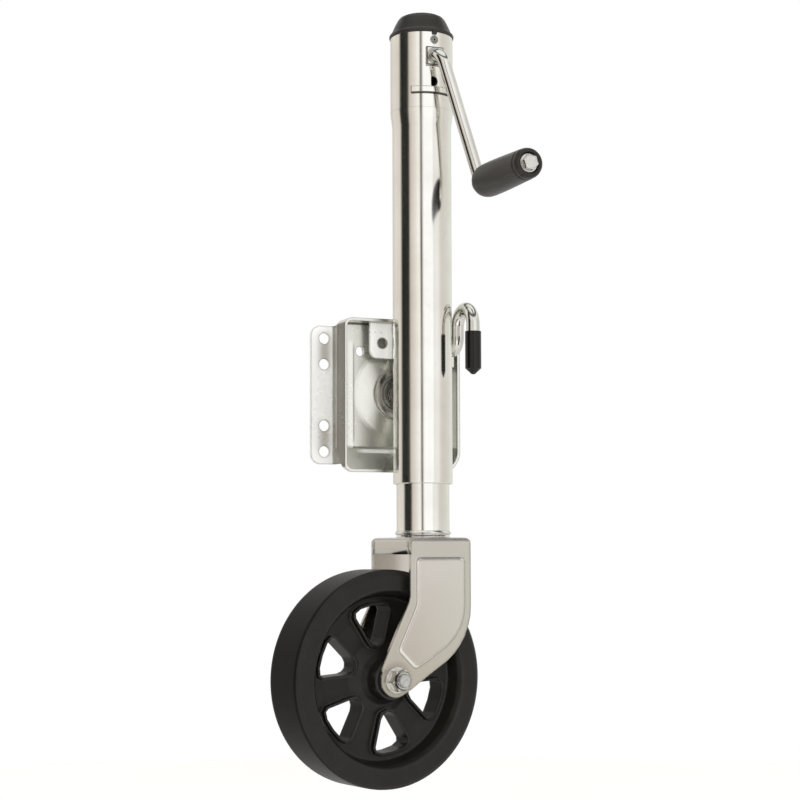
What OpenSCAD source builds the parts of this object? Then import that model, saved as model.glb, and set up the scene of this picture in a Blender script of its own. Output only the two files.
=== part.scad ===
// Trailer tongue jack: side-wind swivel jack with a caster wheel, shown
// locked upright in its working position with the leg wound fully up.
// Frame: origin at the centre of the bolt pattern on the back face of the
// mount plate, +Z up along the jack, +Y into the trailer frame, mm.

/* [Tubes] */
// Outer tube outside diameter
outer_d = 57.15; // [50:0.05:65]
// Inner tube outside diameter
inner_d = 50.8; // [44:0.05:56]
// Tube wall thickness
tube_t = 2.1; // [1.5:0.1:4]
// Outside diameter of the swaged gear head
head_d = 60.6; // [55:0.1:70]

/* [Mount plate] */
// Mount plate width across both flanges
plate_w = 158; // [140:1:180]
// Mount plate height
plate_h = 137; // [120:1:160]
// Mount bolt hole radius
bolt_r = 5.5; // [4:0.1:8]
// Bolt rows, distance across
bolt_x = 130; // [110:1:140]
// Outer bolts, distance along the height
bolt_z = 112; // [90:1:125]
// Inner bolts, distance along the height
bolt_z2 = 61; // [40:1:80]

/* [Wheel] */
// Wheel radius
wheel_r = 101.6; // [75:0.1:110]
// Wheel width
wheel_w = 50; // [38:1:60]
// Caster trail behind the swivel axis
trail = 53.6; // [30:0.1:70]
// Caster direction at rest, degrees about +Z
caster_a = 10.25; // [-30:0.25:30]

/* [Crank] */
// Crank rod radius
rod_r = 6; // [5:0.1:8]
// Crank throw
throw = 129.7; // [90:0.1:160]
// Lean of the crank arm from straight down, degrees
lean = 18.4; // [0:0.1:60]

/* [Screw] */
// Lead screw major radius
screw_r = 9.5; // [8:0.1:12]
// Lead of the screw thread
lead = 5.08; // [3:0.01:8]

/* [Hidden] */
$fn = 64;
tx = 6; ty = -82;
ro = outer_d / 2; rb = ro - tube_t;
ri = inner_d / 2; rib = ri - tube_t;
rh = head_d / 2; rhb = rh - 2.5;
crank_z = 319;
wheel_z = -273;
throw_x = throw * sin(lean);
throw_z = crank_z - throw * cos(lean);
galv = [0.78, 0.77, 0.74];
dark = [0.12, 0.12, 0.12];
brassy = [0.75, 0.6, 0.3];
lock = [41.5, 41];

// Places children on the tube axis.
module jack() translate([tx, ty, 0]) children();
// Turns a solid made along +Z so that it points along -Y from y0.
module along_y(x, y0, z) translate([x, y0, z]) rotate([90, 0, 0]) children();
// Rounded rectangle standing in XZ, from y0 to y1.
module slab(w, z0, z1, r, y0, y1) {
  translate([-w / 2 + r, y0, z0]) cube([w - 2 * r, y1 - y0, z1 - z0]);
  translate([-w / 2, y0, z0 + r]) cube([w, y1 - y0, z1 - z0 - 2 * r]);
  for (sx = [-1, 1], z = [z0 + r, z1 - r])
    translate([sx * (w / 2 - r), y0, z]) rotate([-90, 0, 0])
      cylinder(r = r, h = y1 - y0);
}
// Frame of the caster, turned about the swivel axis.
module caster() jack() rotate([0, 0, caster_a]) children();
// Frame of the axle: +Z of the children lies along the axle.
module axle() caster() translate([-trail, 0, wheel_z]) rotate([90, 0, 0]) children();
// Ring along +Z.
module ring(r1, r0, h) difference() {
  cylinder(r = r1, h = h);
  translate([0, 0, -1]) cylinder(r = r0, h = h + 2);
}

// Hat-section plate that bolts to the trailer frame.
module mount_plate() color(galv) difference() {
  union() {
    for (s = [-1, 1]) {
      translate([s > 0 ? 53 : -69, -3, -plate_h / 2]) cube([16, 3, plate_h]);
      translate([s > 0 ? 60 : -79, -3, -plate_h / 2 + 10]) cube([19, 3, plate_h - 20]);
      for (z = [-1, 1]) translate([s * 69, 0, z * (plate_h / 2 - 10)])
        rotate([90, 0, 0]) cylinder(r = 10, h = 3);
      translate([0, 0, -plate_h / 2]) linear_extrude(plate_h)
        polygon([[s * 53, 0], [s * 56, -3], [s * 54, -28.7], [s * 52, -30.7],
          [s * 48.9, -30.7], [s * 48.9, -27.7], [s * 50.8, -27]]);
    }
    translate([-49, -30.7, -plate_h / 2]) cube([98, 3, plate_h]);
  }
  for (sx = [-1, 1]) {
    for (z = [-bolt_z, -bolt_z2, bolt_z2, bolt_z])
      translate([sx * bolt_x / 2, 1, z / 2]) rotate([90, 0, 0]) cylinder(r = bolt_r, h = 6);
  }
  for (sx = [-1, 1], sz = [-1, 1]) translate([sx * lock[0], -25, sz * lock[1]])
    rotate([90, 0, 0]) cylinder(r = 6.9, h = 8);
  translate([0, -25, 0]) rotate([90, 0, 0]) cylinder(r = 12, h = 8);
}
// Swivel hub riveted to the pad, with a lip that holds the pan.
module pivot_hub() color(galv) along_y(0, 0, 0) rotate_extrude($fn = 96)
  polygon([[0, 26], [12, 26], [12, 30.7], [22.4, 30.7], [22.4, 38.2], [24.6, 38.2],
    [24.6, 39.8], [20.6, 40.4], [20.2, 36], [16, 34.6], [14.6, 36.2], [12.6, 36.2],
    [11.6, 34.2], [9, 34.2], [8, 36.8], [6, 36.8], [5.2, 35], [0, 35]]);
// Thin washer between the pan's dish and the hub lip.
module pivot_washer() color(galv) along_y(0, -37.0, 0) ring(26.5, 22.4, 1.2);
// Peened ring behind the pad.
module hub_rivet() color(galv) along_y(0, 0, 0) rotate_extrude($fn = 72)
  polygon([[0, 22.5], [9, 22.5], [15.5, 25.5], [16, 27.7], [12, 27.7], [12, 26], [0, 26]]);

// Pressed pan welded behind the tube, with a dish, pin ears and a sloped floor.
module pan_profile(t) translate([0, 0, 0]) rotate([90, 0, 90])
  linear_extrude(200, center = true) polygon([[-54 - 5 * t, 71.5 - 3 * t],
    [-54 - 5 * t, -78.1 + 3 * t], [-50.5, -78.1 + 3 * t], [-34 + 0.5 * t, -54.5 + 3 * t],
    [-31 - 3 * t, -54.5 + 3 * t], [-31 - 3 * t, 71.5 - 3 * t]]);
module pan_block(w, t, r, y0, y1) translate([-2.5, 0, 0]) difference() {
  intersection() { slab(w, -78.1 + 3 * t, 71.5 - 3 * t, r, y0, y1); pan_profile(t); }
  // wider corner at the lower right
  translate([39.5, -20, -56.1]) rotate([90, 0, 0]) linear_extrude(60) difference() {
    translate([0, -40]) square(40);
    circle(r = 22 - 3 * t);
  }
}
module swivel_pan() color(galv) difference() {
  union() {
    difference() {
      pan_block(123, 0, 9, -54, -31);
      pan_block(117, 1, 6, -60, -34);
    }
    // dish raised round the pivot
    along_y(0, 0, 0) rotate_extrude($fn = 96)
      polygon([[22.45, 31], [46, 31], [46, 34], [43, 34.2], [27, 36.9], [22.45, 36.9]]);
    // pin ears hanging from the top wall, and the spare one on the left
    for (e = [[-34, -46.5, 33.5], [29.5, -52.5, 27]]) {
      translate([e[0], e[1], e[2] + 8]) cube([24, 3, 61.5 - e[2]]);
      translate([e[0] + 8, e[1], e[2]]) cube([16, 3, 10]);
      translate([e[0] + 8, e[1] + 3, e[2] + 8]) rotate([90, 0, 0]) cylinder(r = 8, h = 3);
    }
  }
  translate([-21, -40, 48.5]) rotate([90, 0, 0]) cylinder(r = 4.75, h = 10);
  translate([lock[0], -44, lock[1]]) rotate([90, 0, 0]) cylinder(r = 6.4, h = 10);
  translate([lock[0], -30, lock[1]]) rotate([90, 0, 0]) cylinder(r = 6.4, h = 10);
  translate([-39.3, -30, lock[1]]) rotate([90, 0, 0]) cylinder(r = 4.7, h = 10);
  translate([0, -20, 0]) rotate([90, 0, 0]) cylinder(r = 22.45, h = 30);
  // clearance for the tube, which the pan's edges meet
  jack() translate([0, 0, -90]) cylinder(r = ro, h = 200, $fn = 96);
}
// Weld beads where the pan's top and bottom walls meet the tube.
module weld_beads() color(galv) jack() for (z = [71.5, -78.1]) difference() {
  rotate([0, 0, 62]) rotate_extrude(angle = 56, $fn = 96)
    translate([ro + 0.9, z]) circle(r = 3, $fn = 24);
  translate([0, 0, z - 10]) cylinder(r = ro, h = 20, $fn = 96);
  translate([-40, 28, z > 0 ? z - 13 : z]) cube([80, 10, 13]);
}

// Drawn outer tube with the swaged gear head.
module outer_tube() color(galv) jack() difference() {
  union() {
    rotate_extrude($fn = 96) polygon([[rb, -90.3], [ro - 0.6, -90.3], [ro, -89.7], [ro, 255],
      [ro + 0.2, 257.4], [rh - 0.2, 267.6], [rh, 270], [rh, 344.5], [rhb, 344.5], [rhb, 272],
      [rb, 267]]);
    // raised band of the bearing seat round the front
    rotate([0, 0, -132]) rotate_extrude(angle = 79, $fn = 96)
      polygon([[rh - 1, 283.8], [rh + 1.9, 283.8], [rh + 2.3, 284.2], [rh + 2.3, 289.2],
        [rh + 1.9, 289.6], [rh - 1, 290]]);
    // flat for the boss plate
    translate([-8.5, -rh - 0.4, crank_z - 8.75]) cube([17, 3.5, 17.5]);
  }
  translate([0, 40, crank_z]) rotate([90, 0, 0]) cylinder(r = 8, h = 80);
  translate([0, -20, 335.5]) rotate([90, 0, 0]) cylinder(r = 4, h = 20);
  // D-shaped slot under the boss
  intersection() {
    translate([-1.2, -20, 295]) rotate([90, 0, 0]) cylinder(r = 4.7, h = 20);
    translate([-3.4, -42, 288]) cube([10, 24, 14]);
  }
}
// Flanged bushings for the crank in the head's front and back walls.
module crank_bushings() color(brassy) jack() {
  along_y(0, -25, crank_z) difference() {
    union() { cylinder(r = 8, h = 8.2); cylinder(r = 9.5, h = 1); }
    translate([0, 0, -1]) cylinder(r = rod_r + 0.05, h = 10);
  }
  along_y(0, 32, crank_z) ring(8, rod_r + 0.05, 6);
}
// Square plate round the front bushing.
module boss_plate() color(galv) jack() difference() {
  translate([-8.7, -rh - 2.2, crank_z - 8.9]) cube([17.4, 1.8, 17.8]);
  translate([0, -20, crank_z]) rotate([90, 0, 0]) cylinder(r = 8, h = 20);
}
// Domed cap with a brim and a retaining tab at the front.
module cap() color(dark) jack() difference() {
  union() {
    rotate_extrude($fn = 96) polygon([[0, 366], [12, 365.8], [17.5, 365.1], [21, 363.4],
      [23.2, 360.8], [25.6, 356.2], [28.2, 350.4], [29.4, 348], [30.8, 346.6], [31.3, 345.8],
      [31.3, 343.8], [30.5, 343], [rh + 0.1, 344.5], [rhb - 0.2, 344.5], [rhb - 0.2, 333],
      [rhb - 2.2, 333], [rhb - 2.2, 348], [22, 357.5], [15, 361.8], [0, 363]]);
    // retaining tab over the head's rim
    translate([-2.2, -rh - 1.6, 340.6]) cube([4.4, 1.6, 4.6]);
  }
  translate([0, -20, 335.5]) rotate([90, 0, 0]) cylinder(r = 4, h = 9.5);
}
// Coiled pin that holds the cap in the head.
module cap_pin() color(galv) jack() along_y(0, -rhb + 2.4, 335.5) difference() {
  cylinder(r = 4, h = rh - rhb + 3, $fn = 48);
  translate([0, 0, 4]) ring(2.9, 2.2, 6);
  translate([0, 0, -1]) cylinder(r = 0.9, h = 12, $fn = 24);
}
// Plate inside the head that carries the thrust bearing.
module bearing_support() color(galv) jack() translate([0, 0, 283]) ring(rhb, screw_r + 0.8, 5);
module bearing_race_lower() color(galv) jack() difference() {
  translate([0, 0, 288]) ring(17.5, screw_r + 0.5, 2);
  translate([0, 0, 292]) rotate_extrude() translate([13.5, 0]) circle(r = 2.6, $fn = 32);
}
// Plastic ring in the mouth of the outer tube.
module wear_ring() color(dark) jack() translate([0, 0, -90.3]) ring(rb, ri + 0.06, 18);

// Bent pull pin: straight rod into the pan, up and over in a hook.
module pull_pin() color(galv) translate([lock[0], 0, 0]) {
  translate([0, -31.2, lock[1]]) rotate([90, 0, 0]) cylinder(r = 6.35, h = 42.8);
  translate([0, -74, 53]) rotate([0, 90, 0]) rotate([0, 0, -90])
    rotate_extrude(angle = 90) translate([12, 0]) circle(r = 6.35, $fn = 48);
  translate([0, -86, 53]) cylinder(r = 6.35, h = 7.5);
  translate([0, -103.5, 60.5]) rotate([90, 0, 90])
    rotate_extrude(angle = 180) translate([17.5, 0]) circle(r = 6.35, $fn = 48);
  translate([0, -121, 19.5]) cylinder(r = 6.35, h = 41);
}
// Vinyl sleeve with a pointed tip on the pin's free strand.
module pin_sleeve() color(dark) translate([lock[0], -121, 13.5]) difference() {
  rotate_extrude() polygon([[0, 0], [1.6, 0], [7.7, 5.6], [7.7, 41], [0, 41]]);
  translate([0, 0, 6]) cylinder(r = 6.35, h = 40);
}
// Washer held on the pin, which the return spring pushes on.
module pin_clip() color(galv) along_y(lock[0], -34.3, lock[1]) ring(9.5, 6.35, 1.2);
// Return spring between the washer and the pin ear.
module pin_spring() color(galv) along_y(lock[0], -35.5, lock[1])
  for (i = [0:4]) translate([0, 0, 0.75 + i * 3.125]) rotate_extrude()
    translate([8, 0]) circle(r = 0.75, $fn = 16);

// Crank rod: shaft through the head, elbow, arm and flattened eye.
module crank_rod() color(galv) jack() {
  difference() {
    translate([0, 35, crank_z]) rotate([90, 0, 0]) cylinder(r = rod_r, h = 69);
    translate([0, -22, crank_z - 10]) cylinder(r = 2, h = 20);
  }
  translate([0, -34, crank_z]) rotate([0, -lean, 0]) {
    translate([0, 0, -12]) rotate([0, 90, 0]) rotate([0, 0, 180])
      rotate_extrude(angle = 90) translate([12, 0]) circle(r = rod_r, $fn = 48);
    translate([0, -12, -throw + 5.2]) cylinder(r = rod_r, h = throw - 17.2);
  }
  translate([throw_x, -44, throw_z]) rotate([90, 0, 0]) ring(8.4, 4, 8);
}
// Teeth of a straight bevel gear in section.
module teeth(n, p, a, d, w) {
  circle(r = p - d, $fn = n * 4);
  for (i = [0:n - 1]) rotate(i * 360 / n) polygon([[p - d - 1, -w / 2 - 0.36 * d],
    [p - d, -w / 2 - 0.36 * d], [p + a, -w / 2 + 0.36 * a], [p + a, w / 2 - 0.36 * a],
    [p - d, w / 2 + 0.36 * d], [p - d - 1, w / 2 + 0.36 * d]]);
}
module pinion() color(galv) jack() translate([0, -18, crank_z]) rotate([-90, 0, 0])
  difference() {
    union() {
      linear_extrude(6, scale = 2 / 3) teeth(12, 12, 1.5, 2.1, 2.3);
      translate([0, 0, -6.6]) cylinder(r = 9.4, h = 7);
    }
    translate([0, 0, -8]) cylinder(r = rod_r, h = 20);
    translate([0, -12, -4]) rotate([-90, 0, 0]) cylinder(r = 2, h = 24);
  }
// Cross pin through the pinion's hub and the crank.
module pinion_pin() color(galv) jack() translate([0, -22, crank_z - 8.7])
  cylinder(r = 2, h = 17.4);
module crank_clip() color(galv) jack() along_y(0, 33.6, crank_z) difference() {
  ring(10, rod_r, 1.2);
  translate([-3, 4, -1]) cube([6, 10, 4]);
}
module grip_bolt() color(galv) jack() translate([throw_x, 0, throw_z]) {
  translate([0, -44, 0]) rotate([90, 0, 0]) cylinder(r = 4, h = 100.6);
  translate([0, -144.5, 0]) rotate([90, 0, 0]) cylinder(r = 8.6, h = 1.4);
  translate([0, -145.9, 0]) rotate([90, 12, 0]) cylinder(r = 13 / 2 / cos(30), h = 5, $fn = 6);
  translate([0, -150.9, 0]) rotate([90, 0, 0]) cylinder(r1 = 6.1, r2 = 5.6, h = 0.5);
}
module grip_washer() color(galv) jack() along_y(throw_x, -52, throw_z) ring(9.4, 4, 1.4);
// Turned plastic grip, free to spin on its bolt.
module grip() color(dark) jack() along_y(throw_x, -53.8, throw_z)
  rotate_extrude($fn = 72) polygon([[4.06, 0], [12.2, 0], [13.4, 0.7], [14.8, 3], [15.7, 7.4],
    [16, 13], [16, 26], [15.8, 40], [15.4, 56], [14.9, 72], [14.6, 84], [14.4, 85.2],
    [13.7, 85.8], [13.7, 86.6], [14.3, 87.2], [14.2, 90.4], [13.4, 92.8], [12.2, 94],
    [10.8, 94.2], [9.6, 93.6], [9.2, 90.4], [4.06, 90.4]]);

// Lead screw; annular grooves stand in for the helical thread.
module lead_screw() color(galv) jack() difference() {
  rotate_extrude($fn = 64) polygon(concat([[0, -32], [screw_r - 2.2, -32]],
    [for (i = [0:58], k = [0:3]) [k == 0 || k == 3 ? screw_r - 2.2 : screw_r,
      -30 + lead * (i + [0.06, 0.3, 0.7, 0.94][k])]],
    [[screw_r - 2.2, 271], [screw_r, 273], [screw_r, 309.5], [0, 309.5]]));
  translate([-15, 0, 299.6]) rotate([0, 90, 0]) cylinder(r = 2.5, h = 30);
}
module bevel_gear() color(galv) jack() difference() {
  union() {
    translate([0, 0, 307]) linear_extrude(4, scale = 2 / 3) teeth(18, 18, 2.1, 3, 2.3);
    rotate_extrude() polygon([[0, 296], [13, 296], [13, 301], [18, 303], [18, 304.8],
      [14.2, 307.6], [0, 307.6]]);
  }
  translate([0, 0, 290]) cylinder(r = screw_r, h = 30);
  translate([-15, 0, 299.6]) rotate([0, 90, 0]) cylinder(r = 2.5, h = 30);
}
module gear_pin() color(galv) jack() translate([-12.8, 0, 299.6]) rotate([0, 90, 0])
  cylinder(r = 2.5, h = 25.6);
module bearing_race_upper() color(galv) jack() difference() {
  translate([0, 0, 294]) ring(17.5, screw_r, 2);
  translate([0, 0, 292]) rotate_extrude() translate([13.5, 0]) circle(r = 2.6, $fn = 32);
}
module bearing_balls() color(galv) jack() for (i = [0:11]) rotate(i * 30)
  translate([13.5, 0, 292]) sphere(r = 2.5, $fn = 32);
module screw_ring() color(galv) jack() translate([0, 0, 280.6]) ring(14, screw_r, 2);

// Inner tube, the leg that winds in and out.
module inner_tube() color(galv) jack() difference() {
  translate([0, 0, -136.5]) ring(ri, rib, 397.5);
  for (a = [0:90:270]) rotate(a) translate([20, 0, 250]) rotate([0, 90, 0])
    cylinder(r = 3, h = 8);
}
module drive_nut() color(brassy) jack() difference() {
  union() {
    translate([0, 0, 239]) cylinder(r = rib, h = 22);
    translate([0, 0, 261]) cylinder(r = ri - 0.3, h = 3);
  }
  translate([0, 0, 230]) cylinder(r = screw_r + 0.1, h = 40);
  for (a = [0:90:270]) rotate(a) translate([18, 0, 250]) rotate([0, 90, 0])
    cylinder(r = 3, h = 8);
}
module nut_rivets() color(galv) jack() intersection() {
  for (a = [0:90:270]) rotate(a) translate([18, 0, 250]) rotate([0, 90, 0])
    cylinder(r = 3, h = 12);
  translate([0, 0, 240]) cylinder(r = ri, h = 20);
}
module guide_ring() color(dark) jack() translate([0, 0, 240]) ring(rb - 0.06, ri, 18);
// Flared foot that closes the leg and carries the kingpin.
module foot_flange() color(galv) jack() rotate_extrude($fn = 96)
  polygon([[8, -138.3], [26.4, -138.3], [26.9, -137.8], [26.9, -137], [26.4, -136.5],
    [ri + 0.4, -135.6], [ri, -134.9], [ri, -136.5], [8, -136.5]]);
module kingpin() color(galv) jack() rotate_extrude()
  polygon([[0, -132.5], [11, -132.5], [12, -133.5], [12, -136.5], [8, -136.5], [8, -148.9],
    [12.5, -148.9], [12.5, -150.9], [9, -152.9], [0, -152.9]]);
module swivel_race_upper() color(galv) jack() difference() {
  translate([0, 0, -139.5]) ring(25.6, 12, 1.2);
  translate([0, 0, -139.9]) rotate_extrude() translate([20, 0]) circle(r = 1.3, $fn = 32);
}
module swivel_race_lower() color(galv) jack() difference() {
  translate([0, 0, -141.5]) ring(25.6, 12, 1.2);
  translate([0, 0, -139.9]) rotate_extrude() translate([20, 0]) circle(r = 1.3, $fn = 32);
}
module swivel_balls() color(galv) jack() for (i = [0:23]) rotate(i * 15)
  translate([20, 0, -139.9]) sphere(r = 1.2, $fn = 24);
module kingpin_washer() color(galv) jack() translate([0, 0, -148.5]) ring(15, 8.06, 3.5);

// Outline of a fork cheek in XZ.
module cheek_2d() {
  polygon([[-37, -138], [-37, -196], [-39, -203], [-48.5, -221], [-68, -260], [-69, -265],
    [-53.6, -273], [-46, -287], [-38, -283.2], [-17.4, -270], [4.1, -257], [12, -250.6],
    [18.5, -243.3], [24, -235], [28.7, -224], [30.8, -216], [31.5, -207], [31.5, -138]]);
  translate([-trail, wheel_z]) circle(r = 16);
}
module panel_2d() polygon([[-27, -159.8], [-30, -161.2], [-31, -164], [-31, -202], [-32.4, -207],
  [-51.5, -245], [-51, -248.5], [-35, -263.4], [-31, -264], [-14, -255], [4, -243.6],
  [13, -235.6], [19.6, -226], [23.4, -215.6], [24.6, -205], [24.6, -164], [23.4, -161.2],
  [20.4, -159.8]]);
// Pressed fork: crown, two cheeks with raised panels, folded trail-side lip.
module fork() color([0.8, 0.78, 0.76]) caster() difference() {
  union() {
    intersection() {
      rotate([90, 0, 90]) translate([0, 0, -80]) linear_extrude(120) difference() {
        union() {
          translate([-28, -160]) square([56, 18.5]);
          translate([-34, -300]) square([68, 152.5]);
          for (s = [-1, 1]) translate([s * 28, -147.5]) circle(r = 6);
        }
        translate([-28, -160]) square([56, 15]);
        translate([-30.5, -310]) square([61, 162.5]);
        for (s = [-1, 1]) translate([s * 28, -147.5]) circle(r = 2.5);
      }
      rotate([90, 0, 0]) translate([0, 0, -50]) linear_extrude(100) cheek_2d();
    }
    for (s = [0, 1]) mirror([0, s, 0]) translate([-8, -33.9, -205]) rotate([90, 0, 0])
      linear_extrude(2.3, scale = 0.93) translate([8, 205]) panel_2d();
    translate([-37, -28.5, -157.5]) cube([3.5, 57, 13.5]);
  }
  translate([0, 0, -160]) cylinder(r = 8.06, h = 22.5);
  translate([-trail, 60, wheel_z]) rotate([90, 0, 0]) cylinder(r = 6.35, h = 120);
  // rounded upper edges across the crown
  for (c = [[-37, 1], [31.5, -1]]) translate([c[0], 0, -141.5]) difference() {
    translate([-4, -40, -4]) cube([8, 80, 8]);
    translate([c[1] * 4, 50, -4]) rotate([90, 0, 0]) cylinder(r = 4, h = 100);
    translate([c[1] * 4 - (c[1] > 0 ? 0 : 10), -50, -20]) cube([10, 100, 40]);
    translate([-10, -50, -24]) cube([20, 100, 20]);
  }
}

// Axle bolt, with its nut on the near side.
module axle_bolt() color(galv) axle() {
  translate([0, 0, -36]) cylinder(r = 6.35, h = 85);
  translate([0, 0, -43.6]) cylinder(r = 19 / 2 / cos(30), h = 7.8, $fn = 6);
}
module axle_nut() color(galv) axle() difference() {
  rotate(8) union() {
    translate([0, 0, 35.8]) cylinder(r = 19 / 2 / cos(30), h = 8.6, $fn = 6);
    translate([0, 0, 44.4]) cylinder(r1 = 8.9, r2 = 8, h = 2.6);
  }
  cylinder(r = 6.35, h = 60);
}
module axle_washers() color(galv) axle() for (z = [-35.8, 34])
  translate([0, 0, z]) ring(12, 6.35, 1.8);
module axle_sleeve() color(galv) axle() translate([0, 0, -30.5]) ring(8.5, 6.35, 61);

// One window of the wheel, pointing along +X.
module window_2d(g) polygon([[31 - g, 0], [33 - g, 4.5 + g], [37, 8 + g], [61, 18.5 + g],
  [65 + g * 0.7, 18 + g * 0.7], [68 + g, 12], [69 + g, 0], [68 + g, -12],
  [65 + g * 0.7, -18 - g * 0.7], [61, -18.5 - g], [37, -8 - g], [33 - g, -4.5 - g]]);
// One-piece wheel: smooth tread, dished web, six ribbed windows.
module wheel() color(dark) axle() difference() {
  union() {
    rotate_extrude($fn = 128) polygon([[79, -20], [82, -24.4], [83.2, -25], [96.6, -25],
      [97.2, -24.5], [98, -24.5], [100.2, -23.6], [101.3, -22.2], [wheel_r, -19.6],
      [wheel_r, 19.6], [101.3, 22.2], [100.2, 23.6], [98, 24.5], [97.2, 24.5], [96.6, 25],
      [83.2, 25], [82, 24.4], [79, 20], [76, 7], [60, 4.5],
      [34, 5], [24, 10], [20, 15], [18.6, 27.6], [18, 28.2], [11, 28.2], [11, -28.2],
      [18, -28.2], [18.6, -27.6], [20, -15], [24, -10], [34, -5], [60, -4.5], [76, -7]]);
    for (i = [0:5]) rotate(40 + i * 60) translate([0, 0, -10.5]) linear_extrude(21)
      window_2d(2.4);
  }
  for (i = [0:5]) rotate(40 + i * 60) translate([0, 0, -30]) linear_extrude(60)
    window_2d(0);
}
module hub_bushings() color([0.3, 0.3, 0.3]) axle() for (s = [0, 1]) mirror([0, 0, s])
  difference() {
    union() {
      translate([0, 0, 14]) cylinder(r = 11, h = 14.2);
      translate([0, 0, 28.2]) cylinder(r = 15, h = 1.6);
    }
    cylinder(r = 8.55, h = 40);
  }

mount_plate();
pivot_hub();
pivot_washer();
hub_rivet();
swivel_pan();
outer_tube();
weld_beads();
crank_bushings();
boss_plate();
cap();
cap_pin();
bearing_support();
bearing_race_lower();
wear_ring();
pull_pin();
pin_sleeve();
pin_clip();
pin_spring();
crank_rod();
pinion();
pinion_pin();
crank_clip();
grip_bolt();
grip_washer();
grip();
lead_screw();
bevel_gear();
gear_pin();
bearing_race_upper();
bearing_balls();
screw_ring();
inner_tube();
drive_nut();
nut_rivets();
guide_ring();
foot_flange();
kingpin();
swivel_race_upper();
fork();
swivel_race_lower();
swivel_balls();
kingpin_washer();
axle_bolt();
axle_nut();
axle_washers();
axle_sleeve();
wheel();
hub_bushings();
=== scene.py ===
import bpy, bmesh, math
from mathutils import Vector, Matrix, Quaternion


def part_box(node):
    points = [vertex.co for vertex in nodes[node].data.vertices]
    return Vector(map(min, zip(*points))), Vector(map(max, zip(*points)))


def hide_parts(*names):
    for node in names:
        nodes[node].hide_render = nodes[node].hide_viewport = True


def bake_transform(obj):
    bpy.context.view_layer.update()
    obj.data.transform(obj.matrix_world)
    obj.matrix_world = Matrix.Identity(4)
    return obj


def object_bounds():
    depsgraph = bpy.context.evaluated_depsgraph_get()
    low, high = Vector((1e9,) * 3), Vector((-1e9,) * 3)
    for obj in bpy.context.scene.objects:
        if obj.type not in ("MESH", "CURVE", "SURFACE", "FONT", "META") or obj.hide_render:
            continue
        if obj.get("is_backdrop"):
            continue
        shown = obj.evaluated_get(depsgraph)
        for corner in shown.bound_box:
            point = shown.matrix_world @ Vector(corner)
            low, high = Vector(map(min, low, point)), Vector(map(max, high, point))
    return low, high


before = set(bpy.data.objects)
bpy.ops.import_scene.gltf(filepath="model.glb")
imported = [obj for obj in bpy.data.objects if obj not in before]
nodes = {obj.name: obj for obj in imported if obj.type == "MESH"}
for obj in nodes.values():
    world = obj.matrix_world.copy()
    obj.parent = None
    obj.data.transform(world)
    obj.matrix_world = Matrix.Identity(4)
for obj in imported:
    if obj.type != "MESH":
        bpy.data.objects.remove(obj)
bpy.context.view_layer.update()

# ---------------------------------------------------------------- camera
# A long lens a little above the ground, looking slightly upwards.
CAM_YAW, CAM_PITCH, CAM_ROLL = 0.40803, 0.06293, -0.00271
cam_data = bpy.data.cameras.new("camera")
cam = bpy.data.objects.new("camera", cam_data)
bpy.context.scene.collection.objects.link(cam)
fwd = Vector((math.sin(CAM_YAW) * math.cos(CAM_PITCH), math.cos(CAM_YAW) * math.cos(CAM_PITCH), math.sin(CAM_PITCH)))
right = Vector((math.cos(CAM_YAW), -math.sin(CAM_YAW), 0))
up = right.cross(fwd)
r2 = right * math.cos(CAM_ROLL) + up * math.sin(CAM_ROLL)
u2 = -right * math.sin(CAM_ROLL) + up * math.cos(CAM_ROLL)
m = Matrix((r2, u2, -fwd)).transposed().to_4x4()
m.translation = Vector((-0.69949, -1.65885, -0.1565))
cam.matrix_world = m
cam_data.sensor_width = 36
cam_data.lens = 1800 / 800 * 36
cam_data.shift_y = 0.05
cam_data.clip_start, cam_data.clip_end = 0.05, 100
bpy.context.scene.camera = cam
bpy.context.scene.view_settings.view_transform = "Standard"

# ---------------------------------------------------------------- studio
world = bpy.data.worlds.new("studio")
bpy.context.scene.world = world
world.use_nodes = True
wt = world.node_tree
wt.nodes.clear()
W = wt.nodes.new
L = wt.links.new


def math_node(tree, op, a, b=None, c=None):
    n = tree.nodes.new("ShaderNodeMath")
    n.operation = op
    for i, v in enumerate((a, b, c)):
        if v is None:
            continue
        if isinstance(v, (int, float)):
            n.inputs[i].default_value = v
        else:
            tree.links.new(v, n.inputs[i])
    return n.outputs[0]


co = W("ShaderNodeTexCoord")
sep = W("ShaderNodeSeparateXYZ")
L(co.outputs["Generated"], sep.inputs[0])
back = math_node(wt, "MULTIPLY", sep.outputs[1], -1.0)
az = math_node(wt, "ARCTAN2", sep.outputs[0], back)
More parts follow.
